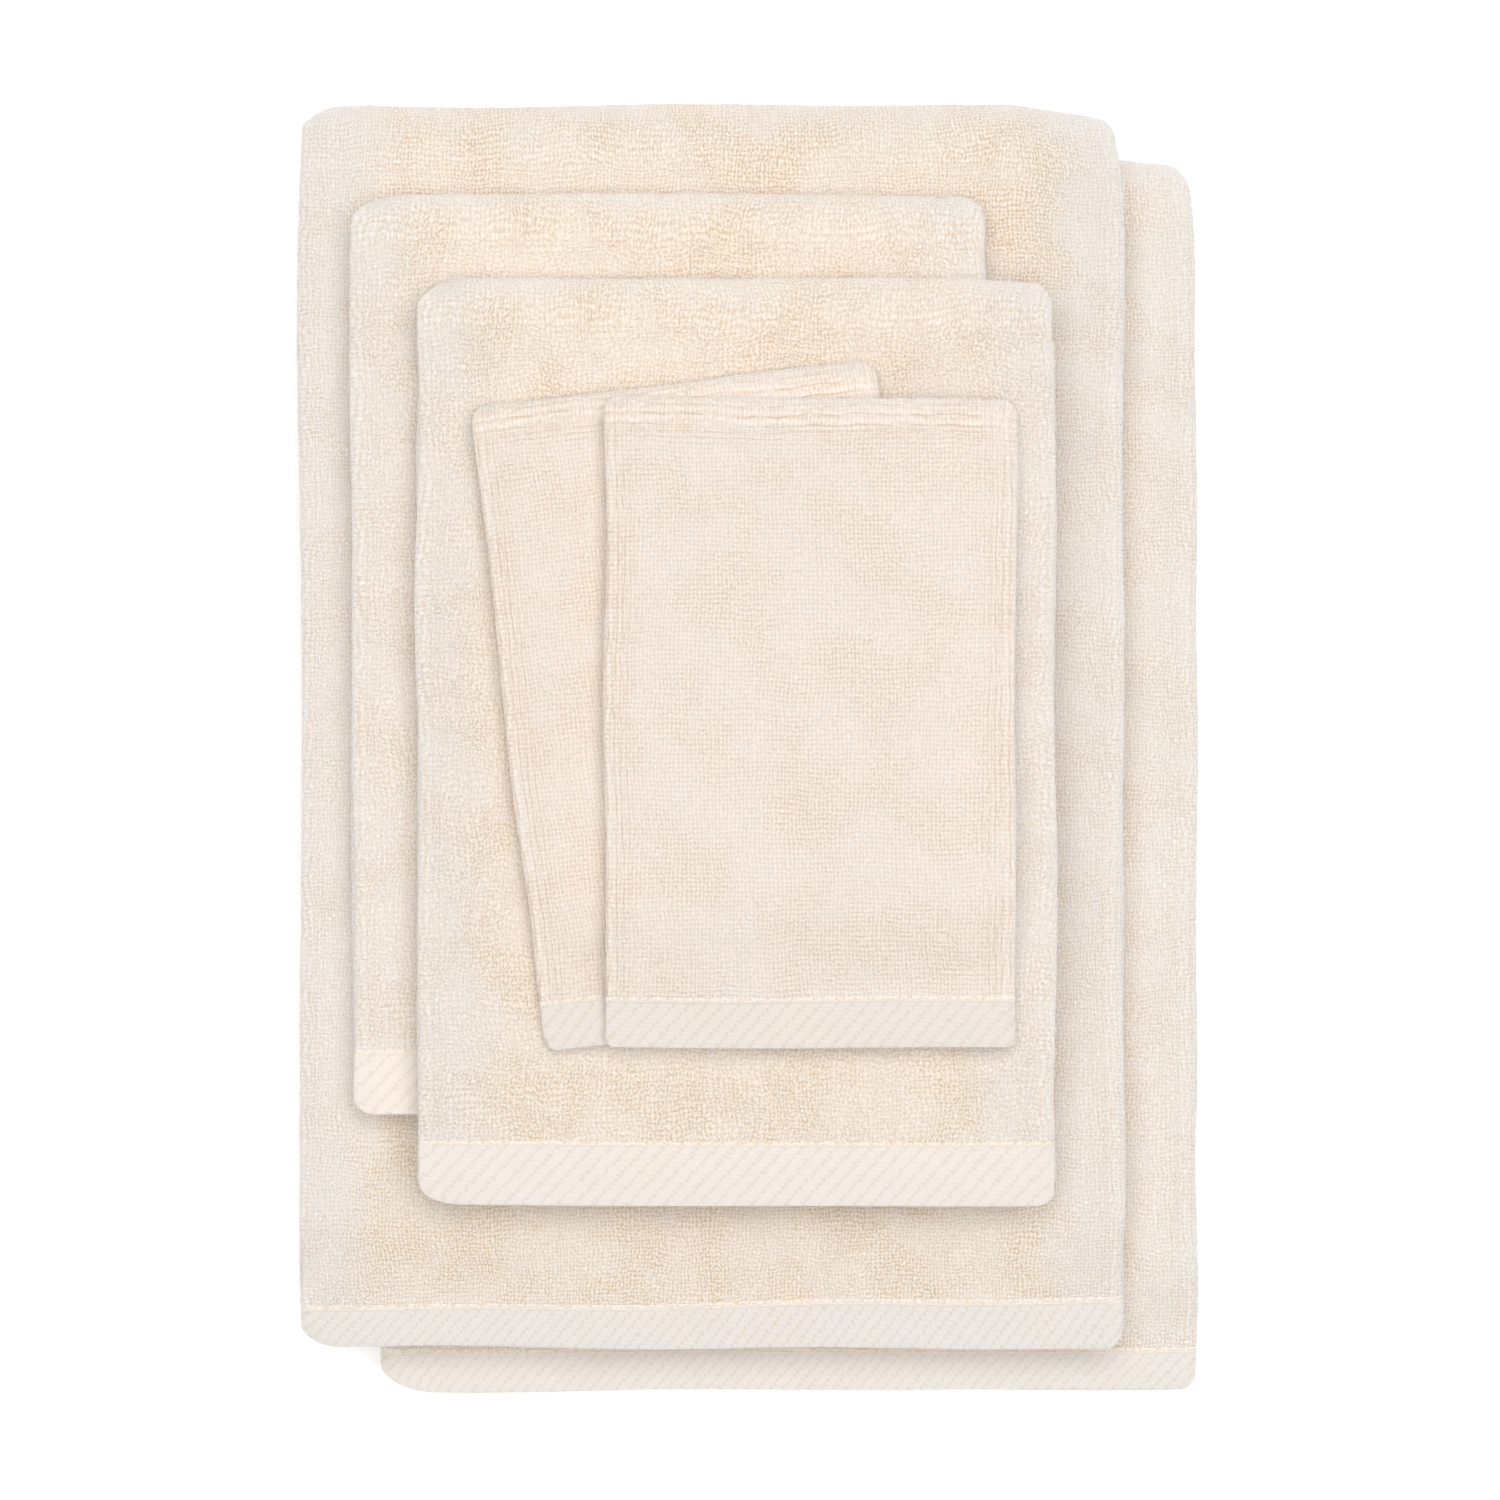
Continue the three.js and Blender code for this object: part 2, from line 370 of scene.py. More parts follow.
class Towel:
    """One folded towel: its cloth's two folds, and how it lies in the stack."""

    def __init__(self, item, ground, seed, gap_below):
        self.name = item["name"]
        self.kind = kind_of(self.name)
        self.cloth = CLOTHS[self.kind]
        self.turn = item["turn"]
        self.pull = [p * MM for p in item["pull"]]
        self.corners = item["corners"]
        self.hem_rise = item.get("hem_rise", 0) * MM
        low, high = towel_box(self.name)
        self.middle = (low + high)[:2] / 2
        self.hem = hem_height(self.name)
        self.width, self.length, self.ply = towel_shape(self.name)
        self.height = 3 * self.cloth["leaves"] * self.ply - AIR
        self.across, self.along = towel_folds(self.name)
        self.sway = [Waves(seed + k, SWAY["wavelengths"]) for k in (1, 2)]
        self.lumps = Waves(seed + 3, LUMPS["wavelengths"])
        self.ripples = Waves(seed + 4, RIPPLES["wavelengths"])
        self.ground = ground
        self.bed = ground.draped(self.cloth["curl"]) + gap_below
        self._add_to_ground()

    def _thinning(self, y):
        """How far the plies are pressed together, from 0 in the terry to 1 at the front hem."""
        behind = y - (-self.length / 2 + self.hem)
        return smooth(1 - behind / SETTLE_LENGTH)

    def _press(self, y, z):
        """Heights over the towel's underside, with the hem plies pressed down on what is below."""
        firm = self.cloth["firm_leaves"] * 3 * self.ply
        over = np.maximum(z - firm, 0)
        return z - over * HEM_SQUASH * self._thinning(y)

    def _swell(self, x, y):
        """How much thicker the towel is here than its mean, as a share."""
        lumps = LUMPS["height"] * self.lumps(x, y)
        ripples = RIPPLES["height"] * self.ripples(x, y)
        return (lumps + ripples) / self.height

    def _outline(self, x, y, z):
        """Rounds the corners, draws one in, and sways the edges, seen from above."""
        half_x, half_y = self.width / 2, self.length / 2
        reach_x = np.clip(1 - (half_x - x) / PULL_REACH[0], 0, 1)
        reach_y = np.clip(1 - (half_y - y) / PULL_REACH[1], 0, 1)
        drawn = reach_x * reach_y
        for corner, axes in self.corners.items():
            side_x = 1 if "right" in corner else -1
            side_y = 1 if "back" in corner else -1
            round_x, round_y = axes[0] * MM, axes[1] * MM
            p = np.clip(1 - (half_x - side_x * x) / round_x, 0, 1)
            q = np.clip(1 - (half_y - side_y * y) / round_y, 0, 1)
            x = x + side_x * round_x * (p * np.sqrt(1 - q * q / 2) - p)
            y = y + side_y * round_y * (q * np.sqrt(1 - p * p / 2) - q)
        x = x - self.pull[0] * drawn * reach_y
        y = y - self.pull[1] * drawn
        x = x + SWAY["reach"][0] * self.sway[0](x, y, z)
        y = y + SWAY["reach"][1] * self.sway[1](x, y, z)
        return x, y

    def _top(self, x, y):
        """The upper face's height over the underside, falling away at the towel's edges."""
        top = self._press(y, self.height) * (1 + self._swell(x, y))
        side = self.ply + self.ply / 2  # the outer radius of the fold at the right side
        back = self.height / 2
        near_side = np.clip(1 - (self.width / 2 - np.abs(x)) / side, 0, 1)
        near_back = np.clip(1 - (self.length / 2 - y) / back, 0, 1)
        top = top - side * (1 - np.sqrt(1 - near_side**2))
        return top - back * (1 - np.sqrt(1 - near_back**2))

    def _add_to_ground(self):
        """Raises the ground to this towel's upper face, for the next one to lie on."""
        ground = self.ground
        dx, dy = ground.grid_x - self.middle[0], ground.grid_y - self.middle[1]
        cos, sin = math.cos(self.turn), math.sin(self.turn)
        x, y = dx * cos + dy * sin, dy * cos - dx * sin
        under = (np.abs(x) < self.width / 2) & (np.abs(y) < self.length / 2)
        top = self.bed + self._top(x, y)
        ground.height = np.where(under, np.maximum(ground.height, top), ground.height)

    def _slant_hem(self, x, v):
        """Shifts the cloth along, so that its front hem line climbs towards the right."""
        share = np.interp(v, [0, self.hem, self.hem + HEM_RISE_REACH], [0, 1, 0])
        return v + self.hem_rise * share * smooth(x / self.width + 0.5)

    def place(self, u, v, w):
        """Where cloth points lie in the stack, as rows of x, y, z."""
        x, height = self.across.at(u, w)
        v = self._slant_hem(x, v)
        y, z = self.along.at(v, height)
        z = z + self.height / 2
        z = self._press(y, z) * (1 + self._swell(x, y))
        x, y = self._outline(x, y, z)
        cos, sin = math.cos(self.turn), math.sin(self.turn)
        world_x = self.middle[0] + x * cos - y * sin
        world_y = self.middle[1] + x * sin + y * cos
        bed = self.ground.sample(self.bed, world_x, world_y)
        return np.stack([world_x, world_y, z + bed], axis=-1)


def kind_of(name):
    """bath_towel, hand_towel or washcloth."""
    return name.rsplit("_", 1)[0]


def unturned(name):
    """The towel to measure: the lower washcloth lies turned, so its twin stands in for it."""
    return name.replace("washcloth_lower", "washcloth_upper")


def towel_box(name):
    """The box of all of a towel's CAD nodes."""
    boxes = [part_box(node) for node in frame["nodes"] if node.startswith(name + "_")]
    return np.min([b[0] for b in boxes], axis=0), np.max([b[1] for b in boxes], axis=0)


def towel_shape(name):
    """A towel's width and length when folded, and its ply spacing, from the frame."""
    measured = unturned(name)
    low, high = towel_box(measured)
    width, length, height = high - low
    gap_above = 0 if measured == "washcloth_upper" else AIR
    return width, length, (height + gap_above) / (3 * CLOTHS[kind_of(name)]["leaves"])


def towel_folds(name):
    """The paths of a towel's fold across the cloth and of its fold along it."""
    cloth = CLOTHS[kind_of(name)]
    width, length, ply = towel_shape(name)
    return fold_across(width, ply, cloth["fine"]), fold_along(length, ply, cloth["leaves"], cloth["fine"])


def hem_height(name):
    """How far a towel's end hems reach along the cloth."""
    low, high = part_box(unturned(name) + "_front_hem")
    return high[1] - low[1]


# ---- meshes on the cloth ----
# Half thicknesses, as shares of the ply spacing.
TERRY_HALF = 0.485
BAND_HALF = 0.46
SIDE_HALF = 0.36
# Edges: how far in the cloth starts to thin, and the share of its thickness left at the edge.
TERRY_EDGE = (1.4 * MM, 0.8)
BAND_TURNED_EDGE = (1.5 * MM, 0.2)
BAND_SEWN_EDGE = (1.0 * MM, 0.9)
SIDE_EDGE = (1.4 * MM, 0.25)
RIM_LINES = np.array([0.0, 0.12, 0.35, 0.8, 1.5]) * MM  # the terry's extra grid lines at a hem
FUZZ = 0.07 * MM  # unevenness of the terry's faces
FUZZ_FREE = 1.0 * MM  # its edge without any
FRONT_BAND_GRID = (0.28, 24)  # pitch scale across and rows along, fine enough for the ribs
INNER_BAND_GRID = (1.0, 8)
SIDE_COLUMNS = 8
SIDE_PITCH_SCALE = 2.0
RIB_PITCH = {"bath_towel": 3.6 * MM, "hand_towel": 4.8 * MM, "washcloth": 4.4 * MM}
RIB_LEAN = math.radians(48)  # from the hem's edge
RIB_DEPTH = 0.28 * MM
STITCH = 2.7 * MM
STITCH_STEPS = 4
THREAD_RADIUS = 0.24 * MM
THREAD_SIDES = 5
THREAD_DIP = 0.36 * MM  # how deep the thread lies in the band between two stitches
THREAD_ARCH = 0.46 * MM  # how much higher it is in the middle of one


def add_mesh(name, points, faces, cloth_uv, material):
    """A smooth mesh object whose UVs are its cloth coordinates, in metres."""
    mesh = bpy.data.meshes.new(name)
    mesh.from_pydata(points, [], faces)
    mesh.shade_smooth()
    corner_points = np.empty(len(mesh.loops), np.int32)
    mesh.loops.foreach_get("vertex_index", corner_points)
    layer = mesh.uv_layers.new(name="cloth")
    layer.data.foreach_set("uv", cloth_uv[corner_points].astype(np.float32).ravel())
    mesh.materials.append(material)
    piece = bpy.data.objects.new(name, mesh)
    bpy.context.scene.collection.objects.link(piece)
    return piece


def sheet_faces(columns, rows):
    """The quads of a closed sheet: an upper and a lower grid of rows by columns, and its rim."""
    index = np.arange(2 * rows * columns).reshape(2, rows, columns)
    upper, lower = index[1], index[0]

    def quads(a, b, c, d):
        return np.stack([a, b, c, d], axis=-1).reshape(-1, 4)

    return np.concatenate(
        [
            quads(upper[:-1, :-1], upper[:-1, 1:], upper[1:, 1:], upper[1:, :-1]),
            quads(lower[1:, :-1], lower[1:, 1:], lower[:-1, 1:], lower[:-1, :-1]),
            quads(lower[:-1, 0], upper[:-1, 0], upper[1:, 0], lower[1:, 0]),
            quads(upper[:-1, -1], lower[:-1, -1], lower[1:, -1], upper[1:, -1]),
            quads(lower[0, :-1], lower[0, 1:], upper[0, 1:], upper[0, :-1]),
            quads(upper[-1, :-1], upper[-1, 1:], lower[-1, 1:], lower[-1, :-1]),
        ]
    )


def rounded_edge(distance, radius, least):
    """The share of its full thickness that a cloth has at a distance from its edge."""
    t = np.clip(1 - distance / radius, 0, 1)
    return least + (1 - least) * np.sqrt(1 - t * t)


def cloth_sheet(towel, name, u_lines, v_lines, upper, lower, material):
    """A closed sheet between two heights, each a function of (u, v)."""
    u, v = np.meshgrid(u_lines, v_lines)
    points = np.concatenate([towel.place(u, v, face(u, v)).reshape(-1, 3) for face in (lower, upper)])
    uv = np.stack([u, v], axis=-1).reshape(-1, 2)
    faces = sheet_faces(len(u_lines), len(v_lines))
    return add_mesh(name, points, faces, np.concatenate([uv, uv]), material)


def terry_sheet(towel, name, low, high, material):
    """The looped cloth from v = low to high, between the side hems, rounded off at the hems."""
    left = towel.cloth["side_hem"]
    right = towel.across.length - left
    front, back = towel.hem, towel.along.length - towel.hem
    u_lines = towel.across.lines(left, right)
    v_lines = towel.along.lines(low, high)
    v_lines = np.unique(np.concatenate([v_lines, front + RIM_LINES, back - RIM_LINES]))
    v_lines = v_lines[(v_lines >= low - TINY) & (v_lines <= high + TINY)]
    rng = np.random.default_rng(len(name))
    fuzz = rng.normal(0, FUZZ, size=(2, len(v_lines), len(u_lines)))

    def from_edge(u, v):
        return np.minimum(np.minimum(v - front, back - v), np.minimum(u - left, right - u))

    def half(u, v):
        return TERRY_HALF * towel.ply * rounded_edge(from_edge(u, v), *TERRY_EDGE)

    def upper(u, v):
        return half(u, v) + fuzz[0] * (from_edge(u, v) > FUZZ_FREE)

    def lower(u, v):
        return -half(u, v) + fuzz[1] * (from_edge(u, v) > FUZZ_FREE)

    return cloth_sheet(towel, name, u_lines, v_lines, upper, lower, material)


def rib_height(kind, u, v):
    """Rounded cords that lean across the hem, 0 in the grooves and 1 on the cords."""
    across_ribs = (u - v / math.tan(RIB_LEAN)) / RIB_PITCH[kind]
    return np.sqrt(np.abs(np.sin(math.pi * across_ribs)))


def end_hem(towel, name, front, material):
    """The flat-woven band at one end of the cloth, turned over at its end, with woven ribs."""
    length = towel.along.length
    low, high = (0.0, towel.hem) if front else (length - towel.hem, length)
    pitch_scale, rows = FRONT_BAND_GRID if front else INNER_BAND_GRID
    u_lines = towel.across.lines(0, towel.across.length, pitch_scale)
    v_lines = low + (high - low) * (0.5 - 0.5 * np.cos(np.linspace(0, math.pi, rows)))

    def half(u, v):
        turned = (v - low) if front else (high - v)
        sewn = (high - v) if front else (v - low)
        edge = np.minimum(turned, np.minimum(u, towel.across.length - u))
        thickness = BAND_HALF * towel.ply * rounded_edge(edge, *BAND_TURNED_EDGE)
        return thickness * rounded_edge(sewn, *BAND_SEWN_EDGE)

    def upper(u, v):
        return half(u, v) + RIB_DEPTH * (rib_height(towel.kind, u, v) - 1)

    def lower(u, v):
        return -half(u, v)

    return cloth_sheet(towel, name, u_lines, v_lines, upper, lower, material)


def side_hem(towel, name, first, low, high, material):
    """A narrow hem down one long edge of the cloth, turned over at the edge."""
    width = towel.across.length
    side = towel.cloth["side_hem"]
    start, end = (0.0, side) if first else (width - side, width)
    front, back = towel.hem, towel.along.length - towel.hem
    u_lines = np.linspace(start, end, SIDE_COLUMNS)
    v_lines = towel.along.lines(max(low, front), min(high, back), SIDE_PITCH_SCALE)

    def upper(u, v):
        turned = u if first else width - u
        return SIDE_HALF * towel.ply * rounded_edge(turned, *SIDE_EDGE)

    def lower(u, v):
        return -upper(u, v)

    return cloth_sheet(towel, name, u_lines, v_lines, upper, lower, material)


def stitch_path(towel, low, high):
    """The thread's (u, v) points and outward directions round the hems, between two v.

    It is a closed loop round the whole cloth, and open for a part of the cloth's length.
    """
    left = towel.cloth["side_hem"] - THREAD_TO_TERRY
    right = towel.across.length - left
    front = towel.hem - THREAD_TO_TERRY
    back = towel.along.length - front
    step = STITCH / STITCH_STEPS
    start, end = max(front, low), min(back, high)
    ups = np.linspace(start, end, int((end - start) / step))
    outs = np.linspace(left, right, int((right - left) / step))
    down_left = [((left, v), (-1, 0)) for v in ups[::-1]]
    along_front = [((u, front), (0, -1)) for u in outs[1:-1]]
    up_right = [((right, v), (1, 0)) for v in ups]
    along_back = [((u, back), (0, 1)) for u in outs[::-1][1:-1]]
    if high - low >= towel.along.length - TINY:
        return down_left + along_front + up_right + along_back, True
    if low > 0:
        return up_right + along_back + down_left, False
    return down_left + along_front + up_right, False


def stitching(towel, name, low, high, material):
    """One thread sewn round the hems: it rises over each stitch and dips between two."""
    path, closed = stitch_path(towel, low, high)
    count, sides = len(path), THREAD_SIDES
    centre = np.array([point for point, _ in path])
    outward = np.array([direction for _, direction in path], float)
    arch = np.sqrt(np.abs(np.sin(math.pi * np.arange(count) / STITCH_STEPS)))
    rise = BAND_HALF * towel.ply - THREAD_DIP + THREAD_ARCH * arch
    rings = []
    for k in range(sides):
        angle = 2 * math.pi * k / sides
        spot = centre + outward * THREAD_RADIUS * math.cos(angle)
        rings.append(towel.place(spot[:, 0], spot[:, 1], rise + THREAD_RADIUS * math.sin(angle)))
    points = np.stack(rings, axis=1).reshape(-1, 3)
    index = np.arange(count * sides).reshape(count, sides)
    here = index if closed else index[:-1]
    following = np.roll(index, -1, axis=0) if closed else index[1:]
    corners = [here, np.roll(here, -1, axis=1), np.roll(following, -1, axis=1), following]
    faces = [tuple(quad) for quad in np.stack(corners, axis=-1).reshape(-1, 4)]
    if not closed:
        faces += [tuple(index[0]), tuple(index[-1][::-1])]
    uv = np.repeat(centre, sides, axis=0)
    return add_mesh(name, points, faces, uv, material)


# ---- material values ----
# Colours are linear. Sizes, pitches and reaches are in mm of cloth.
YARN = {
    "bath_towel": ((0.86, 0.79, 0.725, 1), (0.85, 0.765, 0.68, 1)),
    "hand_towel": ((0.885, 0.805, 0.73, 1), (0.875, 0.78, 0.685, 1)),
    "washcloth": ((0.88, 0.80, 0.735, 1), (0.885, 0.78, 0.70, 1)),
}
# Painted shade: the colour of the gaps between the loops, where they lie in shade.
GAP_SHADE = {
    "bath_towel": (0.69, 0.485, 0.29, 1),
    "hand_towel": (0.70, 0.50, 0.31, 1),
    "washcloth": (0.68, 0.50, 0.34, 1),
}
BAND = {
    "bath_towel": ((0.73, 0.70, 0.67, 1), (0.745, 0.70, 0.66, 1)),
    "hand_towel": ((0.80, 0.74, 0.695, 1), (0.815, 0.735, 0.675, 1)),
    "washcloth": ((0.75, 0.70, 0.655, 1), (0.76, 0.695, 0.64, 1)),
}
# Painted shade in the band's grooves.
BAND_GROOVE_SHADE = (0.655, 0.565, 0.47, 1)
# A pale, cool painted sheen on the steep side folds.
SIDE_SHEEN_COLOUR = (0.80, 0.79, 0.785, 1)
LOOP_HIGHLIGHT = (0.99, 0.93, 0.865, 1)  # painted highlight on the lit tops of the loops
# Each pair runs from painted shade in the weave's dips to the raised threads.
SIDE_HEM_WEAVE = ((0.80, 0.72, 0.63, 1), (0.90, 0.83, 0.75, 1))
SEWING_THREAD = ((0.80, 0.68, 0.54, 1), (0.90, 0.82, 0.72, 1))
SIDE_HEM_PITCH = 0.8
THREAD_PITCH = 0.5

# loop is a loop's width and length, wander how far the rows stray from straight, curl how far
# single loops do, and gaps how much painted shade shows between the loops.
TERRY = {
    "bath_towel": {"loop": (1.05, 1.2), "wander": 5.0, "curl": 1.5, "gaps": 0.85},
    "hand_towel": {"loop": (1.2, 1.35), "wander": 7.0, "curl": 2.1, "gaps": 0.75},
    "washcloth": {"loop": (1.1, 1.3), "wander": 2.5, "curl": 0.9, "gaps": 0.5},
}
ROW_SHARES = (0.5, 0.45)  # of a loop's height, from the rows across and along
CLUMP_SHARE = 0.45  # and from the clumps, up or down
GAP_HEIGHTS = (0.8, 0.15)  # loop heights where the painted shade between loops starts and is deepest
HIGHLIGHT_HEIGHTS = (0.7, 1.2)  # and where the painted highlight does
HIGHLIGHT_SHARE = 0.7
LEAST_GAPS = 0.55  # of the gaps that are left in the pale zones
GAPS_UNDER_SHEEN = 0.5  # of the painted gap shade that is left under the painted sheen on the side folds
SIDE_SHEEN = {"bath_towel": 0.75, "hand_towel": 0.6, "washcloth": 0.0}  # how strong the painted sheen on the side folds is
FOLD_GROOVE_SHADE = {"bath_towel": 0.25, "hand_towel": 0.3, "washcloth": 0.75}  # how much painted shade fills the grooves over the folds
LEAST_FOLD_GROOVE_SHADE = 0.1
SHADE_SPECKS = 0.1  # how much painted gap shade is strewn over the loops, in random specks
BAND_CONTRAST = {"bath_towel": 0.6, "hand_towel": 0.45, "washcloth": 0.6}
ROW_CONTRAST = 0.2  # of the painted shade in the lines between two rows of floats, against that between two cords

STRAY_SIZE = 17  # noise sizes
CURL_SIZE = 1.5
ZONE_SIZE = 19
CLUMP_SIZE = 0.7
SHADE_SPECK_SIZE = 0.7
FOLD_STRAY_SIZE = 9
FOLD_GROOVE_SHADE_SIZE = 6
JITTER_SIZE = 1.6
FRINGE_SIZE = 1.3
SPECK_SIZE = 1.0
FOLD_STRAY = 1.6
JITTER = 0.6  # how unevenly the cords run, in cords
SIDE_SHEEN_REACH = 26
SIDE_SHEEN_CORE = 4
OPEN_REACH = 8
OPEN_CORE = 1.5
ROW_PITCH = 1.7
FLOAT_PITCH = 1.1
FRINGE = 1.8  # about twice how far the loops reach over the hem
FRINGE_SOFTNESS = 0.3
FRINGE_END = 1  # past the front hem's sewn edge, which keeps the fringe off the inner hem
LOOP_BUMP = {"depth": 0.4 * MM, "strength": 0.8}
BAND_BUMP = {"depth": 0.16 * MM, "strength": 0.6}
WEAVE_BUMP = {"depth": 0.15 * MM, "strength": 0.5}
MATT = {
    "Roughness": 0.95,
    "Specular IOR Level": 0.2,
    "Sheen Weight": 0.5,
    "Sheen Roughness": 0.45,
}


# ---- materials ----
class Nodes:
    """Adds nodes to one node tree; each call returns the new node's output socket."""

    def __init__(self, tree):
        self.nodes = tree.nodes
        self.links = tree.links

    def node(self, kind, *values, output=0, settings=None, **named):
        """A new node, with its first inputs fed in order and others by name."""
        made = self.nodes.new("ShaderNode" + kind)
        for key, value in (settings or {}).items():
            setattr(made, key, value)
        for socket, value in zip(made.inputs, values):
            self.feed(socket, value)
        for key, value in named.items():
            self.feed(made.inputs[key], value)
        return made.outputs[output]

    def feed(self, socket, value):
        """Links another node's output to a socket, or sets the socket to a plain value."""
        if isinstance(value, bpy.types.NodeSocket):
            self.links.new(value, socket)
        else:
            socket.default_value = value

    def math(self, operation, *values):
        return self.node("Math", *values, settings={"operation": operation})

    def vector(self, operation, a, b, output="Vector"):
        return self.node("VectorMath", a, b, output=output, settings={"operation": operation})

    def ramp(self, value, low, high, to_low=0.0, to_high=1.0):
        """Level below low and above high, with a smooth climb between."""
        settings = {"interpolation_type": "SMOOTHSTEP"}
        return self.node("MapRange", value, low, high, to_low, to_high, settings=settings)


class Shader(Nodes):
    """The nodes of one material."""

    def __init__(self, name):
        self.material = bpy.data.materials.new(name)
        self.material.use_nodes = True
        super().__init__(self.material.node_tree)
        self.surface = self.nodes["Principled BSDF"]

    def mix(self, share, a, b):
        """Two colours mixed: a for a share of 0 and b for 1."""
        made = self.nodes.new("ShaderNodeMix")
        made.data_type = "RGBA"
        share_socket, first_colour, second_colour = made.inputs[0], made.inputs[6], made.inputs[7]
        self.feed(share_socket, share)
        self.feed(first_colour, a)
        self.feed(second_colour, b)
        return made.outputs[2]

    def noise(self, coordinates, size, detail=2.0, output=0):
        """Noise from 0 to 1, in grains of a size."""
        return self.node(
            "TexNoise", output=output, Vector=coordinates, Scale=1 / size, Detail=detail
        )

    def stray(self, coordinates, size, reach):
        """Coordinates moved about by a noise of a size, by up to about half the reach."""
        noise = self.noise(coordinates, size, 1.0, output=1)
        aim = self.vector("SUBTRACT", noise, (0.5, 0.5, 0.5))
        return self.vector("ADD", coordinates, self.vector("MULTIPLY", aim, (reach, reach, 0)))

    def cloth_mm(self):
        """The cloth coordinates, in millimetres."""
        uv = self.node("UVMap", settings={"uv_map": "cloth"})
        return self.vector("MULTIPLY", uv, (1 / MM, 1 / MM, 0))

    def parts(self, vector):
        """The first two parts of a vector."""
        split = self.nodes.new("ShaderNodeSeparateXYZ")
        self.feed(split.inputs[0], vector)
        return split.outputs[0], split.outputs[1]

    def waves(self, coordinate, pitch):
        """Rows of a pitch: 0 between two rows and 1 along the middle of each."""
        return self.math("ABSOLUTE", self.math("SINE", self.math("MULTIPLY", coordinate, math.pi / pitch)))

    def distance(self, coordinate, place):
        return self.math("ABSOLUTE", self.math("SUBTRACT", coordinate, place))

    def finish(self, colour, height, bump):
        """A matt cloth surface with a soft sheen and a bump."""
        normal = self.node("Bump", Strength=bump["strength"], Distance=bump["depth"], Height=height)
        self.feed(self.surface.inputs["Base Color"], colour)
        self.feed(self.surface.inputs["Normal"], normal)
        for socket, value in MATT.items():
            self.surface.inputs[socket].default_value = value
        return self.material


def fold_lines(kind):
    """Where the outer face starts to bend at its three folds, in mm: two across and one along."""
    across, along = towel_folds(kind + "_upper")
    return (across.spans[2].begin / MM, across.spans[3].begin / MM), along.spans[1].begin / MM


def open_rows(s, coordinate, fold):
    """Rows of loops that part over a fold, as a mask for painted shade: grooves along it, most at the fold
    itself.
    """
    grooves = s.ramp(s.waves(coordinate, ROW_PITCH), 0.5, 0.0)
    near = s.ramp(s.distance(coordinate, fold), OPEN_REACH, OPEN_CORE)
    return s.math("MULTIPLY", grooves, near)


def terry_material(name, kind):
    """Uncut loops: rows of small grains, each a curl of yarn, with specks of painted shade between.

    The yarn drifts between two colours, with a painted highlight on the loop tops, a pale painted
    sheen over it at the side folds, and painted shade in the grooves where rows part over the folds.
    """
    pale, warm = YARN[kind]
    tan = GAP_SHADE[kind]
    terry = TERRY[kind]
    s = Shader(name)
    cloth = s.cloth_mm()

    wandering = s.stray(cloth, STRAY_SIZE, terry["wander"])
    u, v = s.parts(s.stray(wandering, CURL_SIZE, terry["curl"]))
    rows_across = s.math("MULTIPLY", s.waves(u, terry["loop"][0]), ROW_SHARES[0])
    rows_along = s.math("MULTIPLY", s.waves(v, terry["loop"][1]), ROW_SHARES[1])
    clump = s.ramp(s.noise(cloth, CLUMP_SIZE), 0.2, 0.8, -CLUMP_SHARE, CLUMP_SHARE)
    loop = s.math("ADD", s.math("ADD", rows_across, rows_along), clump)

    u, v = s.parts(s.stray(cloth, FOLD_STRAY_SIZE, FOLD_STRAY))
    side_folds, end_fold = fold_lines(kind)
    open_folds = open_rows(s, v, end_fold)
    side_sheen_mask = 0.0
    for fold in side_folds:
        open_folds = s.math("MAXIMUM", open_folds, open_rows(s, u, fold))
        # Near the side folds, where the painted sheen lies.
        near = s.ramp(s.distance(u, fold), SIDE_SHEEN_REACH, SIDE_SHEEN_CORE)
        side_sheen_mask = s.math("MAXIMUM", side_sheen_mask, near)
    side_sheen = s.math("MULTIPLY", side_sheen_mask, SIDE_SHEEN[kind])
    groove_shade_strength = s.ramp(s.noise(cloth, FOLD_GROOVE_SHADE_SIZE), 0.35, 0.6, LEAST_FOLD_GROOVE_SHADE, FOLD_GROOVE_SHADE[kind])
    fold_groove_shade = s.math("MULTIPLY", open_folds, groove_shade_strength)

    zone = s.ramp(s.noise(cloth, ZONE_SIZE, 3), 0.36, 0.66)
    shown = s.math("MULTIPLY", s.ramp(zone, 0.0, 1.0, LEAST_GAPS, 1.0), terry["gaps"])
    gap = s.math("MULTIPLY", s.ramp(loop, *GAP_HEIGHTS), shown)
    gap = s.math("MULTIPLY", gap, s.ramp(side_sheen, 0.0, 1.0, 1.0, GAPS_UNDER_SHEEN))
    shade_specks = s.ramp(s.noise(cloth, SHADE_SPECK_SIZE), 0.3, 0.7, 0.0, SHADE_SPECKS)
    highlight = s.ramp(loop, *HIGHLIGHT_HEIGHTS, 0.0, HIGHLIGHT_SHARE)

    colour = s.mix(side_sheen, s.mix(zone, pale, warm), SIDE_SHEEN_COLOUR)
    # Painted highlight on the loop tops.
    colour = s.mix(highlight, colour, LOOP_HIGHLIGHT)
    # Painted shade in the gaps between the loops.
    colour = s.mix(gap, colour, tan)
    # Random specks of painted gap shade over the loops.
    colour = s.mix(shade_specks, colour, tan)
    # Painted shade in the grooves where rows of loops part over the folds.
    colour = s.mix(fold_groove_shade, colour, tan)
    return s.finish(colour, loop, LOOP_BUMP)


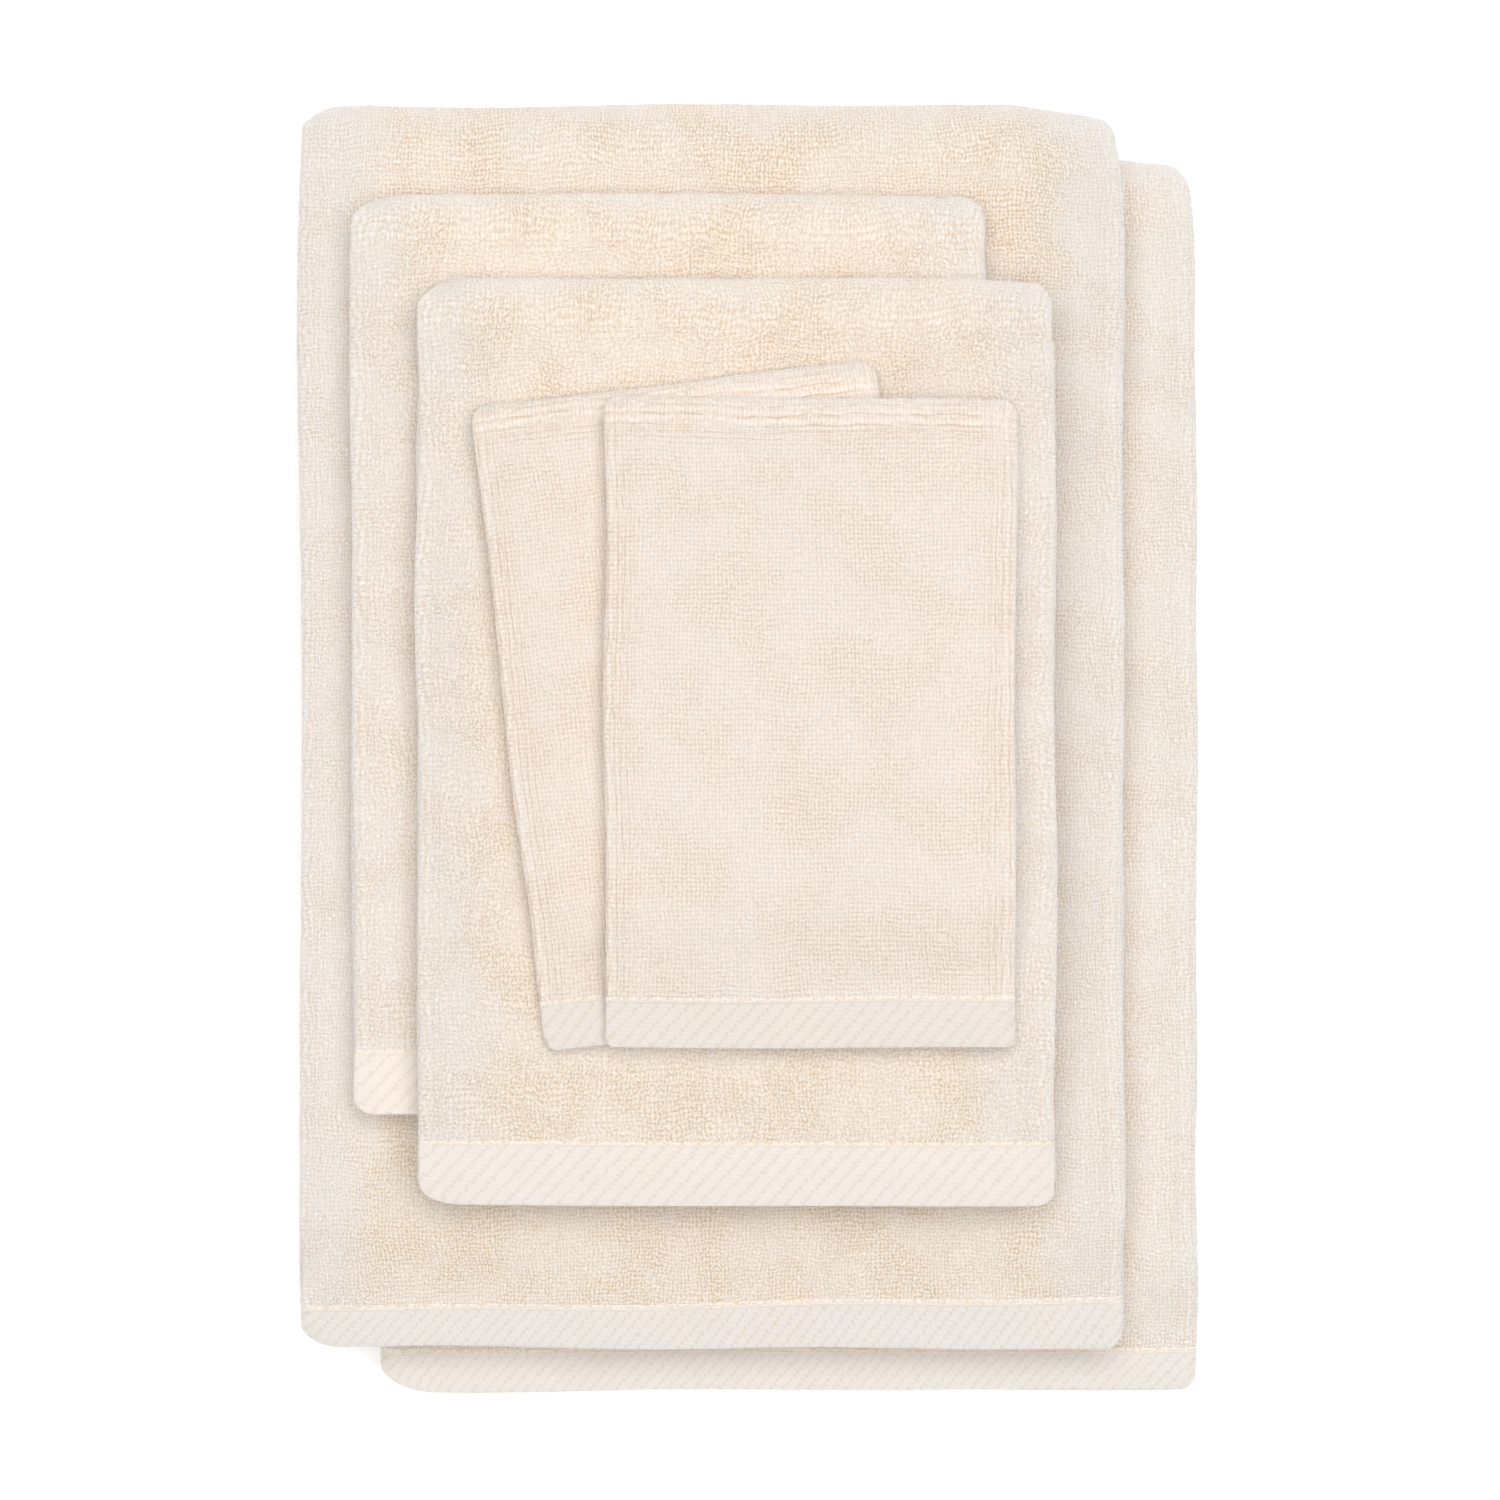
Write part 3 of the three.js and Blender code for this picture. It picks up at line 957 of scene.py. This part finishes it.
def band_material(name, kind):
    """Flat-woven hem: rows of floats, each a step along from the row below, so that they rise
    to the right as diagonal cords, with painted shade in the grooves between them. The front hem's sewn
    edge is ragged with the terry's loops, flecked with painted gap shade.
    """
    s = Shader(name)
    cloth = s.cloth_mm()
    u, v = s.parts(cloth)

    row = s.math("DIVIDE", v, FLOAT_PITCH)
    step = s.math("MULTIPLY", s.math("FLOOR", row), FLOAT_PITCH / math.tan(RIB_LEAN))
    jitter = s.math("SUBTRACT", s.noise(cloth, JITTER_SIZE, 1), 0.5)
    jitter = s.math("MULTIPLY", jitter, JITTER)
    along_row = s.math("DIVIDE", s.math("SUBTRACT", u, step), RIB_PITCH[kind] / MM)
    cord = s.waves(s.math("ADD", along_row, jitter), 1)
    across_row = s.waves(row, 1)
    float_height = s.math("MULTIPLY", s.math("POWER", cord, 0.5), s.math("POWER", across_row, 0.3))
    # Painted shade between the cords and between the rows.
    between_cords = s.ramp(cord, 0.6, 0.05)
    between_rows = s.ramp(across_row, 0.5, 0.0, 0.0, ROW_CONTRAST)
    cord_groove_shade = s.math("MAXIMUM", between_cords, between_rows)

    sewn = hem_height(kind + "_upper") / MM
    reach = s.math("MULTIPLY", s.noise(cloth, FRINGE_SIZE, 1), FRINGE)
    fringe = s.ramp(s.math("ADD", v, reach), sewn, sewn + FRINGE_SOFTNESS)
    in_fringe = s.math("MULTIPLY", fringe, s.math("LESS_THAN", v, sewn + FRINGE_END))
    speck = s.ramp(s.noise(cloth, SPECK_SIZE, 1), 0.45, 0.7, 0.0, 0.6)

    colour = s.mix(s.ramp(s.noise(cloth, ZONE_SIZE), 0.3, 0.7), *BAND[kind])
    colour = s.mix(s.math("MULTIPLY", cord_groove_shade, BAND_CONTRAST[kind]), colour, BAND_GROOVE_SHADE)
    # Fringe loops, flecked with painted gap shade.
    colour = s.mix(in_fringe, colour, s.mix(speck, YARN[kind][0], GAP_SHADE[kind]))
    return s.finish(colour, float_height, BAND_BUMP)


def weave_material(name, dip_shade, light, pitch):
    """Thread or narrow hem: a fine over-and-under weave, with painted shade where the weave dips."""
    s = Shader(name)
    u, v = s.parts(s.cloth_mm())
    rate = 2 * math.pi / pitch
    across = s.math("SINE", s.math("MULTIPLY", u, rate))
    along = s.math("SINE", s.math("MULTIPLY", v, rate))
    weave = s.ramp(s.math("MULTIPLY", across, along), -1, 1)
    return s.finish(s.mix(weave, dip_shade, light), weave, WEAVE_BUMP)


def make_materials():
    """The terry and the hem band of each kind of towel, the narrow hem and the thread."""
    short_names = {"bath_towel": "bath", "hand_towel": "hand", "washcloth": "wash"}
    terry = {kind: terry_material(short + "_terry", kind) for kind, short in short_names.items()}
    bands = {kind: band_material(kind + "_band", kind) for kind in CLOTHS}
    hem = weave_material("side_hem_weave", *SIDE_HEM_WEAVE, SIDE_HEM_PITCH)
    thread = weave_material("sewing_thread", *SEWING_THREAD, THREAD_PITCH)
    return terry, bands, hem, thread


def ride_leaf(piece):
    """Bakes a piece of the opening leaf into world space; it is not attached to a body."""
    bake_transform(piece)


def build_lengthwise(towel, label, low, high, materials):
    """The terry, side hems and thread of one part of the cloth's length, from one v to another."""
    terry, _, hem, thread = materials
    front, back = towel.hem, towel.along.length - towel.hem
    name = towel.name + "_"
    panel_name = name + "terry" + label
    panel = terry_sheet(towel, panel_name, max(low, front), min(high, back), terry[towel.kind])
    sides = [
        side_hem(towel, f"{name}side_band_{side}{label}", side == "a", low, high, hem)
        for side in "ab"
    ]
    sewing = stitching(towel, name + "stitches" + label, low, high, thread)
    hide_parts(name + "terry_panel" + label)
    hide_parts(name + "side_hem_a" + label)
    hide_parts(name + "side_hem_b" + label)
    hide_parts(name + "hem_stitching" + label)
    for piece in [panel, *sides, sewing]:
        if label == "_top":
            ride_leaf(piece)
        else:
            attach(piece, towel.name)
    return panel, [*sides, sewing]


def build_band(towel, end, body, materials):
    """The hem band at the cloth's front or inner end."""
    _, bands, _, _ = materials
    band = end_hem(towel, f"{towel.name}_{end}_band", end == "front", bands[towel.kind])
    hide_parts(f"{towel.name}_{end}_hem")
    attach(band, body)
    return band


def build_towel(towel, materials):
    """All of a towel's pieces. A towel that opens is cut in two where its crease's bend ends."""
    length = towel.along.length
    leaf = towel.name + "_leaf"
    if leaf in frame["bodies"]:
        cut = towel.along.spans[2].begin
        parts = [("_top", 0.0, cut), ("_base", cut, length)]
        front_body = leaf
    else:
        parts = [("", 0.0, length)]
        front_body = towel.name
    sheets = []
    for label, low, high in parts:
        panel, others = build_lengthwise(towel, label, low, high, materials)
        sheets.append((panel, others, high - low))
    sheets[0][1].append(build_band(towel, "front", front_body, materials))
    sheets[-1][1].append(build_band(towel, "inner", towel.name, materials))
    return sheets[-1][0]


# ---- studio ----
CAMERA_HEIGHT = 4.0
SENSOR_WIDTH = 36
VIEW_WIDTH = 1.1793  # of the floor, against the stack's length
VIEW_END = 100
SKY = 0.35
HORIZON = 0.75  # added to the sky low down, so that it meets the floor without a line
HORIZON_REACH = math.radians(26)
KEY = 12.5  # added over the key light's middle
KEY_FROM = Vector((0.03, 0.06, 1.0)).normalized()  # over the towels' right shoulder
KEY_EDGE = math.radians(20)
KEY_CORE = math.radians(5)
FLOOR_REACH = 8.0
FLOOR_DROP = 0.3 * MM  # under the towels
FLOOR_GLOW = 0.2
PAPER = {
    "Base Color": (0.93, 0.93, 0.93, 1),
    "Roughness": 0.9,
    "Specular IOR Level": 0.1,
    "Emission Color": (1, 1, 1, 1),
    "Emission Strength": FLOOR_GLOW,
}


def light_the_world():
    """A white dome, brightest in a small soft patch overhead and, a little, along the horizon."""
    world = bpy.data.worlds.new("studio")
    world.use_nodes = True
    sky = Nodes(world.node_tree)
    direction = sky.node("TexCoord", output="Generated")

    def patch(towards, low, high, outside, inside):
        facing = sky.vector("DOT_PRODUCT", direction, towards, output="Value")
        return sky.ramp(facing, low, high, outside, inside)

    overhead = patch(KEY_FROM, math.cos(KEY_EDGE), math.cos(KEY_CORE), SKY, SKY + KEY)
    horizon = patch((0, 0, -1), -math.sin(HORIZON_REACH), 0.0, 0.0, HORIZON)
    backdrop = world.node_tree.nodes["Background"]
    backdrop.inputs["Color"].default_value = (1, 1, 1, 1)
    sky.feed(backdrop.inputs["Strength"], sky.math("ADD", overhead, horizon))
    bpy.context.scene.world = world


def lay_floor():
    """White paper that runs to the horizon, just under the towels."""
    mesh = bpy.data.meshes.new("floor")
    signs = [(-1, -1), (1, -1), (1, 1), (-1, 1)]
    mesh.from_pydata([(x * FLOOR_REACH, y * FLOOR_REACH, 0) for x, y in signs], [], [(0, 1, 2, 3)])
    floor = bpy.data.objects.new("floor", mesh)
    floor.location.z = -FLOOR_DROP
    paper = Shader("floor_paper")
    for socket, value in PAPER.items():
        paper.surface.inputs[socket].default_value = value
    mesh.materials.append(paper.material)
    bpy.context.scene.collection.objects.link(floor)


def hang_camera():
    """A camera straight above the stack, with the whole of it in view."""
    low, high = cad_box
    camera = bpy.data.cameras.new("camera")
    camera.sensor_width = SENSOR_WIDTH
    camera.lens = SENSOR_WIDTH * CAMERA_HEIGHT / (VIEW_WIDTH * (high[1] - low[1]))
    camera.clip_end = VIEW_END
    eye = bpy.data.objects.new("camera", camera)
    eye.location = (0, 0, CAMERA_HEIGHT)
    bpy.context.scene.collection.objects.link(eye)
    bpy.context.scene.camera = eye
    bpy.context.scene.view_settings.view_transform = "Standard"


# ---- the set ----
SEED = 11
SEEDS_PER_TOWEL = 10
lay_floor()
light_the_world()
hang_camera()
materials = make_materials()
ground = Ground(*cad_box)
below = ["floor"]
for number, item in enumerate(STACK):
    gap_below = AIR if number else 0.0
    towel = Towel(item, ground, SEED + SEEDS_PER_TOWEL * number, gap_below)
    below = [build_towel(towel, materials).name]
